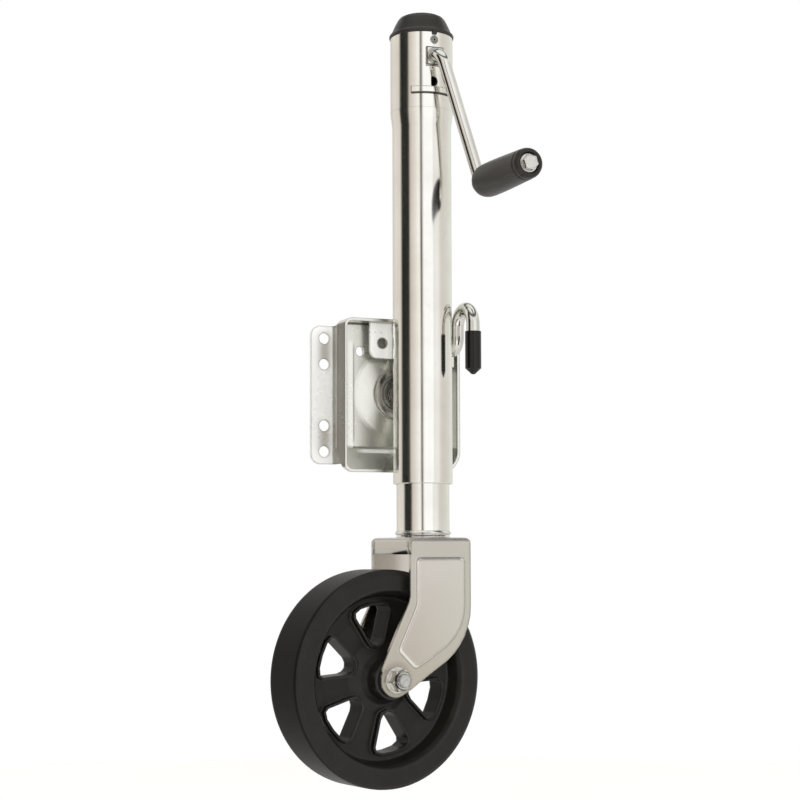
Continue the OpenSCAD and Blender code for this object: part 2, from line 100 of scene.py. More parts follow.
# soft boxes and a dark flag stand at fixed places round the studio
turn = math_node(wt, "ADD", az, CAM_YAW + math.pi)
turn = math_node(wt, "DIVIDE", turn, 2 * math.pi)
turn = math_node(wt, "FRACT", turn)
ramp = W("ShaderNodeValToRGB")
L(turn, ramp.inputs[0])
STOPS = [(-180, (0.72, 0.69, 0.64)), (-150, (0.71, 0.68, 0.64)), (-128, (0.86, 0.81, 0.77)), (-96, (0.80, 0.76, 0.71)), (-91.5, (0.64, 0.61, 0.54)), (-86, (0.10, 0.10, 0.085)),
         (-81, (0.020, 0.022, 0.018)), (-56, (0.019, 0.021, 0.020)), (-52, (0.12, 0.10, 0.08)), (-47.5, (0.62, 0.58, 0.53)), (-40, (0.75, 0.69, 0.64)), (-26, (0.90, 0.85, 0.81)),
         (-12, (1.10, 1.08, 1.05)), (-8.5, (0.98, 0.95, 0.92)), (-5.5, (0.12, 0.11, 0.10)), (-1.5, (0.13, 0.12, 0.11)), (1.5, (0.72, 0.70, 0.68)), (5, (1.15, 1.15, 1.16)),
         (41, (1.18, 1.18, 1.19)), (45.5, (0.92, 0.91, 0.90)), (54, (1.00, 0.99, 0.98)), (66, (0.95, 0.94, 0.92)), (75, (0.78, 0.75, 0.71)), (90, (0.73, 0.71, 0.67)),
         (115, (0.78, 0.76, 0.73)), (140, (0.84, 0.87, 0.81)), (180, (0.72, 0.69, 0.64))]
els = ramp.color_ramp.elements
while len(els) > 2:
    els.remove(els[-1])
for i, (b, c) in enumerate(STOPS):
    p = b / 360 + 0.5
    e = els[i] if i < 2 else els.new(p)
    e.position = p
    e.color = (*c, 1)
topmix = W("ShaderNodeMix")
topmix.data_type = "RGBA"
tr = W("ShaderNodeMapRange")
tr.inputs["From Min"].default_value, tr.inputs["From Max"].default_value = 0.34, 0.66
L(sep.outputs[2], tr.inputs[0])
L(tr.outputs[0], topmix.inputs[0])
L(ramp.outputs[0], topmix.inputs[6])
ceil = W("ShaderNodeValToRGB")
L(sep.outputs[2], ceil.inputs[0])
ce = ceil.color_ramp.elements
for i, (p, v) in enumerate(((0.34, 1.04), (0.62, 1.04), (0.69, 0.16), (0.80, 0.16), (0.87, 1.0), (1.0, 1.05))):
    e = ce[i] if i < 2 else ce.new(p)
    e.position = p
    e.color = (v, v, v * 0.98, 1)
L(ceil.outputs[0], topmix.inputs[7])
bg_light = W("ShaderNodeBackground")
L(topmix.outputs[2], bg_light.inputs[0])
bg_cam = W("ShaderNodeBackground")
bg_cam.inputs[0].default_value = (1, 1, 1, 1)
lp = W("ShaderNodeLightPath")
mixs = W("ShaderNodeMixShader")
L(lp.outputs["Is Camera Ray"], mixs.inputs[0])
L(bg_light.outputs[0], mixs.inputs[1])
L(bg_cam.outputs[0], mixs.inputs[2])
wo = W("ShaderNodeOutputWorld")
L(mixs.outputs[0], wo.inputs[0])


def area(name, loc, target, size, power, color=(1, 1, 1)):
    d = bpy.data.lights.new(name, "AREA")
    d.shape, d.size, d.energy, d.color = "SQUARE", size, power, color
    o = bpy.data.objects.new(name, d)
    o.location = loc
    o.rotation_mode = "QUATERNION"
    o.rotation_quaternion = (Vector(target) - Vector(loc)).to_track_quat("-Z", "Y")
    bpy.context.scene.collection.objects.link(o)
    o.visible_camera = False
    o.visible_glossy = False
    return o


area("key_softbox", (-1.3, -1.0, 1.7), (0, -0.08, 0), 1.2, 11)
area("fill_softbox", (1.8, -1.2, 0.6), (0, -0.08, -0.1), 1.0, 2, (1, 0.99, 0.97))
area("front_softbox", (-0.75, -1.7, 0.25), (0, -0.05, -0.05), 0.8, 15)

# a black flag beside the object; its reflection draws the dark stripes
card_me = bpy.data.meshes.new("black_flag")
bm = bmesh.new()
bmesh.ops.create_grid(bm, x_segments=4, y_segments=4, size=0.5)
bm.to_mesh(card_me)
bm.free()
card = bpy.data.objects.new("black_flag", card_me)
card.matrix_world = Matrix.Translation((-1.15, -0.02, 0.42)) @ Vector((1.0, 0.0, 0.0)).to_track_quat("Z", "Y").to_matrix().to_4x4() @ Matrix.Diagonal((0.62, 1.58, 1, 1))
bpy.context.scene.collection.objects.link(card)
card.visible_camera = False
card.visible_shadow = False
card.visible_diffuse = False
cm = bpy.data.materials.new("black_cloth")
cm.use_nodes = True
cm.node_tree.nodes["Principled BSDF"].inputs["Base Color"].default_value = (0.015, 0.016, 0.014, 1)
cm.node_tree.nodes["Principled BSDF"].inputs["Roughness"].default_value = 0.95
card_me.materials.append(cm)
card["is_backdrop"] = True


# ---------------------------------------------------------------- materials
class Mat:
    def __init__(self, name):
        self.m = bpy.data.materials.new(name)
        self.m.use_nodes = True
        self.t = self.m.node_tree
        self.b = self.t.nodes["Principled BSDF"]
        self.co = self.t.nodes.new("ShaderNodeTexCoord").outputs["Object"]

    def noise(self, scale, detail=4, rough=0.55, stretch=(1, 1, 1), dist=0.0):
        mp = self.t.nodes.new("ShaderNodeMapping")
        mp.inputs["Scale"].default_value = stretch
        self.t.links.new(self.co, mp.inputs[0])
        n = self.t.nodes.new("ShaderNodeTexNoise")
        n.inputs["Scale"].default_value = scale
        n.inputs["Detail"].default_value = detail
        n.inputs["Roughness"].default_value = rough
        n.inputs["Distortion"].default_value = dist
        self.t.links.new(mp.outputs[0], n.inputs["Vector"])
        return n.outputs["Fac"]

    def ramp(self, fac, stops):
        r = self.t.nodes.new("ShaderNodeValToRGB")
        e = r.color_ramp.elements
        for i, (p, c) in enumerate(stops):
            x = e[i] if i < 2 else e.new(p)
            x.position = p
            x.color = (*c, 1) if len(c) == 3 else c
        self.t.links.new(fac, r.inputs[0])
        return r.outputs[0]

    def rng(self, fac, lo, hi, a=0.3, b=0.7):
        r = self.t.nodes.new("ShaderNodeMapRange")
        r.inputs["From Min"].default_value, r.inputs["From Max"].default_value = a, b
        r.inputs["To Min"].default_value, r.inputs["To Max"].default_value = lo, hi
        self.t.links.new(fac, r.inputs[0])
        return r.outputs[0]

    def mixc(self, fac, a, b):
        n = self.t.nodes.new("ShaderNodeMix")
        n.data_type = "RGBA"
        for i, v in ((0, fac), (6, a), (7, b)):
            if isinstance(v, (int, float)):
                n.inputs[i].default_value = v
            elif isinstance(v, tuple):
                n.inputs[i].default_value = (*v, 1)
            else:
                self.t.links.new(v, n.inputs[i])
        return n.outputs[2]

    def bump(self, height, strength, dist, normal=None):
        b = self.t.nodes.new("ShaderNodeBump")
        b.inputs["Strength"].default_value = strength
        b.inputs["Distance"].default_value = dist
        self.t.links.new(height, b.inputs["Height"])
        if normal is not None:
            self.t.links.new(normal, b.inputs["Normal"])
        return b.outputs[0]

    def bevel(self, radius):
        n = self.t.nodes.new("ShaderNodeBevel")
        n.samples = 4
        n.inputs["Radius"].default_value = radius
        return n.outputs[0]

    def set(self, name, v):
        s = self.b.inputs[name]
        if isinstance(v, (int, float, tuple)):
            s.default_value = (*v, 1) if isinstance(v, tuple) and len(v) == 3 else v
        else:
            self.t.links.new(v, s)
        return self


def mathn(m, op, a, b=None, c=None):
    return math_node(m.t, op, a, b, c)


def xyz(m):
    n = m.t.nodes.new("ShaderNodeSeparateXYZ")
    m.t.links.new(m.co, n.inputs[0])
    return n.outputs


def band(m, v, centre, half, soft):
    """1 where v is within half of centre, falling to 0 over soft."""
    d = mathn(m, "ABSOLUTE", mathn(m, "SUBTRACT", v, centre))
    r = m.t.nodes.new("ShaderNodeMapRange")
    r.interpolation_type = "SMOOTHSTEP"
    r.inputs["From Min"].default_value, r.inputs["From Max"].default_value = half, half + soft
    r.inputs["To Min"].default_value, r.inputs["To Max"].default_value = 1.0, 0.0
    m.t.links.new(d, r.inputs[0])
    return r.outputs[0]


def edges(m, radius, lo=0.02, hi=0.25):
    """1 along the edges of the shape, from how far a rounded normal leaves the true one."""
    dot = m.t.nodes.new("ShaderNodeVectorMath")
    dot.operation = "DOT_PRODUCT"
    m.t.links.new(m.bevel(radius), dot.inputs[0])
    m.t.links.new(m.t.nodes.new("ShaderNodeNewGeometry").outputs["Normal"], dot.inputs[1])
    r = m.t.nodes.new("ShaderNodeMapRange")
    r.inputs["From Min"].default_value, r.inputs["From Max"].default_value = lo, hi
    m.t.links.new(mathn(m, "SUBTRACT", 1.0, dot.outputs["Value"]), r.inputs[0])
    return r.outputs[0]


def paint_edge_shade(m, radius, k, dark=(0.16, 0.15, 0.125)):
    """Paints shade along the edges: darkens the base colour there."""
    old = m.b.inputs["Base Color"].links[0].from_socket
    m.set("Base Color", m.mixc(mul(m, edges(m, radius), k), old, dark))


def mul(m, *v):
    out = v[0]
    for x in v[1:]:
        out = mathn(m, "MULTIPLY", out, x)
    return out


def bright_zinc(name, stretch, r0=0.09, r1=0.16, lo=(0.80, 0.785, 0.735), hi=(0.88, 0.872, 0.83)):
    m = Mat(name)
    cloud = m.noise(26, 3)
    fine = m.noise(500, 3, stretch=stretch)
    specks = m.noise(150, 6, 0.7)
    c = m.ramp(cloud, [(0.3, lo), (0.7, hi)])
    c = m.mixc(m.rng(specks, 0.0, 0.22, 0.56, 0.8), c, tuple(0.72 * v for v in lo))
    m.colour = c
    m.set("Metallic", 1.0).set("Base Color", c)
    m.set("Roughness", m.rng(fine, r0, r1))
    m.set("Normal", m.bump(fine, 0.02, 0.0004, m.bevel(0.0005)))
    return m


def sheet_zinc(name, lo, hi, r0, r1, mottled=60, patch=0.82, wave=0.04, bev=0.0009, gr=0.018):
    m = Mat(name)
    big = m.noise(9, 4, dist=0.4)
    mot = m.noise(mottled, 5, 0.6)
    grain = m.noise(620, 1)
    c = m.ramp(mot, [(0.32, lo), (0.68, hi)])
    c2 = m.mixc(m.rng(big, 0.0, 0.35), c, tuple(patch * v for v in lo))
    m.set("Metallic", 1.0).set("Base Color", c2)
    m.set("Roughness", m.rng(mot, r0, r1))
    n = m.bump(big, wave, 0.004, m.bevel(bev))
    m.grainy = m.bump(grain, gr, 0.00015, n)
    m.colour = c2
    m.set("Normal", m.grainy)
    return m


def plastic(name, base, worn, r0, r1, grain_scale, bump, wear=0.55, bev=0.0006, edge=0.0):
    m = Mat(name)
    big = m.noise(14, 4)
    g = m.noise(grain_scale, 3)
    dust = m.noise(70, 6, 0.65)
    c = m.mixc(m.rng(dust, 0, wear, 0.4, 0.8), m.ramp(big, [(0.3, base), (0.7, tuple(1.25 * v for v in base))]), worn)
    m.colour = c
    m.set("Base Color", c)
    m.set("Roughness", m.rng(g, r0, r1))
    m.grainy = m.bump(g, bump, 0.0003, m.bevel(bev))
    m.set("Normal", m.grainy)
    m.set("Specular IOR Level", 0.5)
    return m


tube_mat = bright_zinc("bright_zinc_tube", (1, 1, 0.02))
tx_, ty_, tz_ = xyz(tube_mat)[0:3]
dx_, dy_ = mathn(tube_mat, "SUBTRACT", tx_, 0.006), mathn(tube_mat, "ADD", ty_, 0.082)
ang = mathn(tube_mat, "MULTIPLY", mathn(tube_mat, "ARCTAN2", dy_, dx_), 180 / math.pi)
trad = mathn(tube_mat, "SQRT", mathn(tube_mat, "ADD", mathn(tube_mat, "POWER", dx_, 2.0), mathn(tube_mat, "POWER", dy_, 2.0)))
outside = band(tube_mat, trad, 0.034, 0.006, 0.0004)
# painted shade: dark lines under and over the strap band, at its ends and at the swage step
band_under_shadow = mul(tube_mat, band(tube_mat, tz_, 0.28345, 0.00062, 0.0005), band(tube_mat, ang, -92.5, 39.5, 1.2))
band_top_shade = mul(tube_mat, band(tube_mat, tz_, 0.28975, 0.00028, 0.0004), band(tube_mat, ang, -92.5, 39.5, 1.2), 0.72)
band_end_shade = mul(tube_mat, band(tube_mat, mathn(tube_mat, "ABSOLUTE", mathn(tube_mat, "ADD", ang, 92.5)), 40.1, 1.0, 0.9), band(tube_mat, tz_, 0.2868, 0.0034, 0.0005))
swage_shade = mul(tube_mat, band(tube_mat, tz_, 0.2700, 0.00012, 0.0005), 0.30)
line = mathn(tube_mat, "MAXIMUM", mathn(tube_mat, "MAXIMUM", band_under_shadow, band_top_shade), mathn(tube_mat, "MAXIMUM", band_end_shade, mul(tube_mat, swage_shade, 0.5)))
tube_mat.set("Base Color", tube_mat.mixc(mul(tube_mat, line, outside, 0.93), tube_mat.colour, (0.10, 0.098, 0.08)))
rod_mat = bright_zinc("bright_zinc_rod", (1, 1, 1), 0.07, 0.13, (0.68, 0.67, 0.63), (0.78, 0.77, 0.73))

# fork: satin plating; the base colour turns darker and warmer towards the bottom
fork_mat = sheet_zinc("satin_zinc_fork", (0.68, 0.645, 0.612), (0.71, 0.676, 0.643), 0.19, 0.25, 30, 0.97, 0.02, 0.0034, 0.008)
fz = xyz(fork_mat)[2]
low = fork_mat.t.nodes.new("ShaderNodeMapRange")
low.inputs["From Min"].default_value, low.inputs["From Max"].default_value = -0.29, -0.17
low.inputs["To Min"].default_value, low.inputs["To Max"].default_value = 0.85, 0.0
fork_mat.t.links.new(fz, low.inputs[0])
fork_mat.set("Base Color", fork_mat.mixc(low.outputs[0], fork_mat.colour, (0.49, 0.43, 0.35)))

ffx, ffy = xyz(fork_mat)[0:2]
green = fork_mat.t.nodes.new("ShaderNodeMapRange")
green.inputs["From Min"].default_value, green.inputs["From Max"].default_value = -0.012, 0.040
fork_mat.t.links.new(mathn(fork_mat, "ADD", ffx, mul(fork_mat, mathn(fork_mat, "ADD", fz, 0.2), -0.25)), green.inputs[0])
fork_mat.set("Base Color", fork_mat.mixc(mul(fork_mat, green.outputs[0], 0.55), fork_mat.b.inputs["Base Color"].links[0].from_socket, (0.73, 0.735, 0.665)))
FT = math.radians(10.25)
along = mathn(fork_mat, "ADD", mathn(fork_mat, "MULTIPLY", mathn(fork_mat, "SUBTRACT", ffx, 0.006), math.cos(FT)),
              mathn(fork_mat, "MULTIPLY", mathn(fork_mat, "ADD", ffy, 0.082), math.sin(FT)))
tt = mathn(fork_mat, "DIVIDE", mathn(fork_mat, "ADD", fz, 0.1495), 0.0078)
roll_h = mathn(fork_mat, "SQRT", mathn(fork_mat, "MAXIMUM", mathn(fork_mat, "SUBTRACT", 1.0, mathn(fork_mat, "POWER", tt, 2.0)), 0.0))
lip = band(fork_mat, along, -0.0385, 0.0022, 0.0004)
fork_mat.set("Normal", fork_mat.bump(mul(fork_mat, roll_h, lip), 0.9, 0.0045, fork_mat.grainy))
# pressed panel: cheek face a little darker, painted shade at the foot of the step, painted highlight on the shoulder
perp = mathn(fork_mat, "ABSOLUTE", mathn(fork_mat, "SUBTRACT", mathn(fork_mat, "MULTIPLY", mathn(fork_mat, "ADD", ffy, 0.082), math.cos(FT)),
                                         mathn(fork_mat, "MULTIPLY", mathn(fork_mat, "SUBTRACT", ffx, 0.006), math.sin(FT))))
fc = fork_mat.b.inputs["Base Color"].links[0].from_socket
fc = fork_mat.mixc(mul(fork_mat, band(fork_mat, perp, 0.0338, 0.0006, 0.0003), 0.42), fc, (0.52, 0.50, 0.43))
fc = fork_mat.mixc(mul(fork_mat, band(fork_mat, perp, 0.03455, 0.0003, 0.0003), 0.50), fc, (0.24, 0.23, 0.19))
fc = fork_mat.mixc(mul(fork_mat, band(fork_mat, perp, 0.03530, 0.0004, 0.0003), 0.60), fc, (0.95, 0.94, 0.90))
# painted shade: a dark patch round the axle
round_axle = mathn(fork_mat, "SQRT", mathn(fork_mat, "ADD", mathn(fork_mat, "POWER", mathn(fork_mat, "ADD", along, 0.0536), 2.0),
                                           mathn(fork_mat, "POWER", mathn(fork_mat, "ADD", fz, 0.273), 2.0)))
fc = fork_mat.mixc(mul(fork_mat, band(fork_mat, round_axle, 0.0, 0.0125, 0.0070), 0.55), fc, (0.33, 0.30, 0.26))
# painted shade at the crown's end
crown_end = band(fork_mat, along, -0.042, 0.0062, 0.0010)
fc = fork_mat.mixc(mul(fork_mat, crown_end, band(fork_mat, fz, -0.148, 0.010, 0.004), 0.50), fc, (0.50, 0.49, 0.42))
fork_mat.set("Base Color", fc)
# painted shade along the fork's edges
paint_edge_shade(fork_mat, 0.0012, 0.36, (0.30, 0.285, 0.25))

# pressed sheet parts of the bracket
pan_mat = sheet_zinc("zinc_pressing_pan", (0.76, 0.765, 0.71), (0.88, 0.88, 0.83), 0.24, 0.34, 32, 0.90)
plate_mat = sheet_zinc("zinc_pressing_plate", (0.93, 0.925, 0.905), (0.97, 0.965, 0.945), 0.24, 0.34, 24, 0.96)
px, py, pz = xyz(plate_mat)[0:3]
ax = mathn(plate_mat, "ABSOLUTE", px)
# painted shade on the leg between flange and pan, and in the valleys round the holes
leg = mul(plate_mat, band(plate_mat, ax, 0.0538, 0.0026, 0.0010), band(plate_mat, py, -0.0170, 0.0128, 0.0012))
near_hole_shade = mul(plate_mat, band(plate_mat, ax, 0.0640, 0.0010, 0.0085), band(plate_mat, mathn(plate_mat, "ABSOLUTE", pz), 0.043, 0.006, 0.016))
pc = plate_mat.mixc(mul(plate_mat, near_hole_shade, 0.75), plate_mat.colour, (0.36, 0.33, 0.285))
plate_mat.set("Base Color", plate_mat.mixc(mul(plate_mat, leg, 0.86), pc, (0.16, 0.15, 0.115)))
# painted shade along the plate's edges
paint_edge_shade(plate_mat, 0.0021, 1.0, (0.055, 0.050, 0.040))
plate_mat.set("Metallic", mathn(plate_mat, "ADD", 0.22, mul(plate_mat, leg, 0.78)))
valley = mul(plate_mat, band(plate_mat, ax, 0.0650, 0.0010, 0.0085), band(plate_mat, mathn(plate_mat, "ABSOLUTE", pz), 0.043, 0.009, 0.014))
plate_mat.set("Normal", plate_mat.bump(mathn(plate_mat, "SUBTRACT", 1.0, valley), 0.5, 0.0014, plate_mat.grainy))

# pan: painted shade in the creases where the walls meet the back and along the inside of the lip; painted highlights
# on the rolled edge, the slope and faintly the rim; the ears painted near-white as if lit, with painted shade in
# their holes
bx, by, bz = xyz(pan_mat)[0:3]
qx = mathn(pan_mat, "SUBTRACT", mathn(pan_mat, "ABSOLUTE", mathn(pan_mat, "ADD", bx, 0.0025)), 0.0525)
qz = mathn(pan_mat, "SUBTRACT", mathn(pan_mat, "ABSOLUTE", mathn(pan_mat, "ADD", bz, 0.0033)), 0.0658)
out = mathn(pan_mat, "SQRT", mathn(pan_mat, "ADD", mathn(pan_mat, "POWER", mathn(pan_mat, "MAXIMUM", qx, 0.0), 2.0),
                                   mathn(pan_mat, "POWER", mathn(pan_mat, "MAXIMUM", qz, 0.0), 2.0)))
dist = mathn(pan_mat, "SUBTRACT", mathn(pan_mat, "ADD", out, mathn(pan_mat, "MINIMUM", mathn(pan_mat, "MAXIMUM", qx, qz), 0.0)), 0.006)
back = band(pan_mat, by, -0.0335, 0.0012, 0.0006)
side = mul(pan_mat, back, band(pan_mat, bx, -0.0462, 0.0002, 0.0012), band(pan_mat, bz, 0.000, 0.042, 0.010), 0.6)
foot = mul(pan_mat, back, band(pan_mat, bz, -0.0538, 0.0004, 0.0005), band(pan_mat, bx, 0.0, 0.0470, 0.002))
wall = mul(pan_mat, band(pan_mat, dist, -0.0004, 0.0006, 0.0012), band(pan_mat, by, -0.0354, 0.0014, 0.0014))
crease_shade = mathn(pan_mat, "MAXIMUM", wall, mathn(pan_mat, "MAXIMUM", side, foot))
roll = mul(pan_mat, back, band(pan_mat, bx, -0.0495, 0.0018, 0.0012), band(pan_mat, bz, -0.003, 0.050, 0.006))
slope_highlight = mul(pan_mat, band(pan_mat, bz, -0.0568, 0.0012, 0.0012), band(pan_mat, by, -0.0365, 0.0035, 0.001), band(pan_mat, bx, -0.006, 0.030, 0.012))
rim_highlight = band(pan_mat, by, -0.0545, 0.0008, 0.0006)
lip_shade_line = mul(pan_mat, band(pan_mat, by, -0.0524, 0.0003, 0.0008), band(pan_mat, dist, 0.0, 0.0008, 0.0006))
ear = mul(pan_mat, band(pan_mat, bx, -0.022, 0.0121, 0.0004), band(pan_mat, by, -0.045, 0.0017, 0.0003), band(pan_mat, bz, 0.051, 0.0178, 0.0006))
ear_hole_shade = mul(pan_mat, band(pan_mat, mathn(pan_mat, "SQRT", mathn(pan_mat, "ADD", mathn(pan_mat, "POWER", mathn(pan_mat, "ADD", bx, 0.021), 2.0),
            mathn(pan_mat, "POWER", mathn(pan_mat, "SUBTRACT", bz, 0.0485), 2.0))), 0.0, 0.0052, 0.0010), ear)
bc = pan_mat.mixc(mathn(pan_mat, "MAXIMUM", mul(pan_mat, roll, 0.8), mul(pan_mat, slope_highlight, 0.9)), pan_mat.colour, (0.97, 0.97, 0.94))
bc = pan_mat.mixc(mul(pan_mat, crease_shade, 0.80), bc, (0.07, 0.068, 0.055))
bc = pan_mat.mixc(mul(pan_mat, lip_shade_line, 0.7), bc, (0.10, 0.095, 0.08))
bc = pan_mat.mixc(mul(pan_mat, rim_highlight, 0.25), bc, (0.86, 0.84, 0.78))
# painted shade on the rear and the outside of the left wall
wall_rear_shade = mul(pan_mat, band(pan_mat, bx, -0.0640, 0.0006, 0.0006), band(pan_mat, by, -0.0335, 0.0042, 0.0035))
bc = pan_mat.mixc(mul(pan_mat, wall_rear_shade, 0.62), bc, (0.20, 0.19, 0.15))
wall_out_shade = mul(pan_mat, band(pan_mat, bx, -0.0643, 0.0011, 0.0006), band(pan_mat, by, -0.0440, 0.0098, 0.0010))
bc = pan_mat.mixc(mul(pan_mat, wall_out_shade, 0.90), bc, (0.11, 0.105, 0.08))
# painted light: the ear is made near-white and mostly non-metallic
bc = pan_mat.mixc(mul(pan_mat, ear, 0.85), bc, (0.97, 0.97, 0.95))
bc = pan_mat.mixc(mul(pan_mat, ear_hole_shade, 0.8), bc, (0.20, 0.20, 0.18))
pan_mat.set("Base Color", bc)
# painted shade along the pan's edges
paint_edge_shade(pan_mat, 0.0017, 0.88, (0.11, 0.10, 0.08))
pan_mat.set("Metallic", mathn(pan_mat, "SUBTRACT", 1.0, mathn(pan_mat, "MAXIMUM", mul(pan_mat, ear, 0.72), mathn(pan_mat, "MAXIMUM", mul(pan_mat, roll, 0.5), mul(pan_mat, slope_highlight, 0.5)))))
hub_mat = sheet_zinc("zinc_hub", (0.46, 0.455, 0.42), (0.66, 0.65, 0.61), 0.16, 0.28, 80)

# weld: fish-scale ripple along the seam
weld_mat = sheet_zinc("plated_weld", (0.58, 0.575, 0.53), (0.78, 0.77, 0.72), 0.2, 0.32, 200)
wz = xyz(weld_mat)[2]
rip = mathn(weld_mat, "SINE", mathn(weld_mat, "MULTIPLY", mathn(weld_mat, "ADD", wz, mathn(weld_mat, "MULTIPLY", weld_mat.noise(120, 2), 0.002)), 2100.0))
weld_mat.set("Normal", weld_mat.bump(rip, 0.55, 0.0006, weld_mat.grainy))

small_mat = sheet_zinc("zinc_hardware", (0.64, 0.63, 0.59), (0.84, 0.83, 0.80), 0.14, 0.26, 160)
boss_mat = sheet_zinc("boss_zinc", (0.74, 0.735, 0.69), (0.86, 0.855, 0.81), 0.14, 0.24, 120)
ox, oy, oz = xyz(boss_mat)[0:3]
# painted shadow: a dark line round the boss plate's outline
edge = mathn(boss_mat, "MAXIMUM", mathn(boss_mat, "ABSOLUTE", mathn(boss_mat, "SUBTRACT", ox, 0.006)), mathn(boss_mat, "ABSOLUTE", mathn(boss_mat, "SUBTRACT", oz, 0.319)))
boss_mat.set("Base Color", boss_mat.mixc(mul(boss_mat, band(boss_mat, edge, 0.0090, 0.0009, 0.0005), 0.92), boss_mat.colour, (0.12, 0.115, 0.10)))
nut_mat = sheet_zinc("dull_nut_steel", (0.66, 0.65, 0.60), (0.86, 0.85, 0.81), 0.08, 0.15, 260, 0.82, 0.04, 0.0006)
# painted shade along the boss plate's edges
paint_edge_shade(boss_mat, 0.0008, 0.5)
# painted shade on the nut's edges
nut_mat.set("Base Color", nut_mat.mixc(mul(nut_mat, edges(nut_mat, 0.0016, 0.010, 0.085), 0.92), nut_mat.b.inputs["Base Color"].links[0].from_socket, (0.035, 0.033, 0.028)))
collar_mat = sheet_zinc("turned_collar", (0.40, 0.39, 0.36), (0.60, 0.59, 0.56), 0.16, 0.28, 200)
bolt_mat = sheet_zinc("plated_bolt", (0.46, 0.455, 0.43), (0.66, 0.655, 0.63), 0.16, 0.28, 240)
ux, uy, uz = xyz(bolt_mat)
run = mathn(bolt_mat, "SUBTRACT", mathn(bolt_mat, "MULTIPLY", ux, math.sin(FT)), mathn(bolt_mat, "MULTIPLY", uy, math.cos(FT)))
thread = mathn(bolt_mat, "SINE", mathn(bolt_mat, "MULTIPLY", run, 2 * math.pi / 0.00195))
bolt_mat.set("Normal", bolt_mat.bump(thread, 0.8, 0.0005, bolt_mat.grainy))
# painted shade along the edges of the bolt and the collar
paint_edge_shade(bolt_mat, 0.0021, 0.92, (0.045, 0.042, 0.036))
paint_edge_shade(collar_mat, 0.0008, 0.7)
steel_mat = sheet_zinc("oiled_steel", (0.40, 0.40, 0.39), (0.56, 0.56, 0.55), 0.25, 0.4, 120)
bronze_mat = sheet_zinc("sintered_bronze", (0.52, 0.38, 0.20), (0.70, 0.54, 0.32), 0.3, 0.45, 260)

# coiled pin: the rolled strip shows as rings on its end
coil_mat = sheet_zinc("coiled_pin", (0.44, 0.43, 0.40), (0.62, 0.61, 0.58), 0.2, 0.35, 220)
cx, cy, cz = xyz(coil_mat)[0:3]
rr = mathn(coil_mat, "SQRT", mathn(coil_mat, "ADD", mathn(coil_mat, "POWER", mathn(coil_mat, "SUBTRACT", cx, 0.006), 2.0),
                                   mathn(coil_mat, "POWER", mathn(coil_mat, "SUBTRACT", cz, 0.3355), 2.0)))
coil_mat.set("Normal", coil_mat.bump(mathn(coil_mat, "SINE", mathn(coil_mat, "MULTIPLY", rr, 5600.0)), 0.7, 0.0004, coil_mat.grainy))

cap_mat = plastic("moulded_black", (0.0150, 0.0125, 0.0108), (0.024, 0.021, 0.018), 0.34, 0.46, 1400, 0.10, 0.4)
cap_mat.set("Specular IOR Level", 0.36)

# grip: fine moulded grain with a faint parting line
grip_mat = plastic("grip_black", (0.0105, 0.0080, 0.0066), (0.0195, 0.0155, 0.0130), 0.27, 0.40, 1100, 0.10, 0.45)
gx = xyz(grip_mat)[0]
part = band(grip_mat, gx, 0.0469, 0.0001, 0.0004)
grip_mat.set("Normal", grip_mat.bump(part, 0.25, 0.0004, grip_mat.grainy))
grip_mat.set("Specular IOR Level", 0.37)

vinyl_mat = plastic("dipped_vinyl", (0.0035, 0.0031, 0.0027), (0.007, 0.0063, 0.0056), 0.07, 0.13, 240, 0.04)
vinyl_mat.set("Specular IOR Level", 0.34)

# wheel: moulded black; the tread is duller than the side wall and the web
wheel_mat = plastic("wheel_black", (0.0082, 0.0071, 0.0060), (0.018, 0.0156, 0.0130), 0.27, 0.38, 900, 0.14, 0.5, 0.0032)
qx_, qy_, qz_ = xyz(wheel_mat)[0:3]
TURN = math.radians(10.25)
across = mathn(wheel_mat, "ADD", mathn(wheel_mat, "MULTIPLY", mathn(wheel_mat, "ADD", qx_, 0.04674), math.cos(TURN)),
               mathn(wheel_mat, "MULTIPLY", mathn(wheel_mat, "ADD", qy_, 0.09154), math.sin(TURN)))
down = mathn(wheel_mat, "ADD", qz_, 0.273)
rad = mathn(wheel_mat, "SQRT", mathn(wheel_mat, "ADD", mathn(wheel_mat, "POWER", across, 2.0), mathn(wheel_mat, "POWER", down, 2.0)))
tread = band(wheel_mat, rad, 0.1030, 0.0018, 0.0006)
wheel_mat.set("Base Color", wheel_mat.mixc(mul(wheel_mat, tread, 0.75), wheel_mat.colour, (0.0030, 0.0026, 0.0020)))
# painted highlight: the shoulders of the ribs and windows get a lighter base colour and more specular
shoulder_highlight = mul(wheel_mat, edges(wheel_mat, 0.0045, 0.03, 0.30), band(wheel_mat, rad, 0.050, 0.034, 0.006))
wheel_mat.set("Base Color", wheel_mat.mixc(mul(wheel_mat, shoulder_highlight, 0.55), wheel_mat.b.inputs["Base Color"].links[0].from_socket, (0.046, 0.042, 0.036)))
wheel_mat.set("Specular IOR Level", mathn(wheel_mat, "ADD", mathn(wheel_mat, "SUBTRACT", 0.26, mul(wheel_mat, tread, 0.20)), mul(wheel_mat, shoulder_highlight, 0.45)))
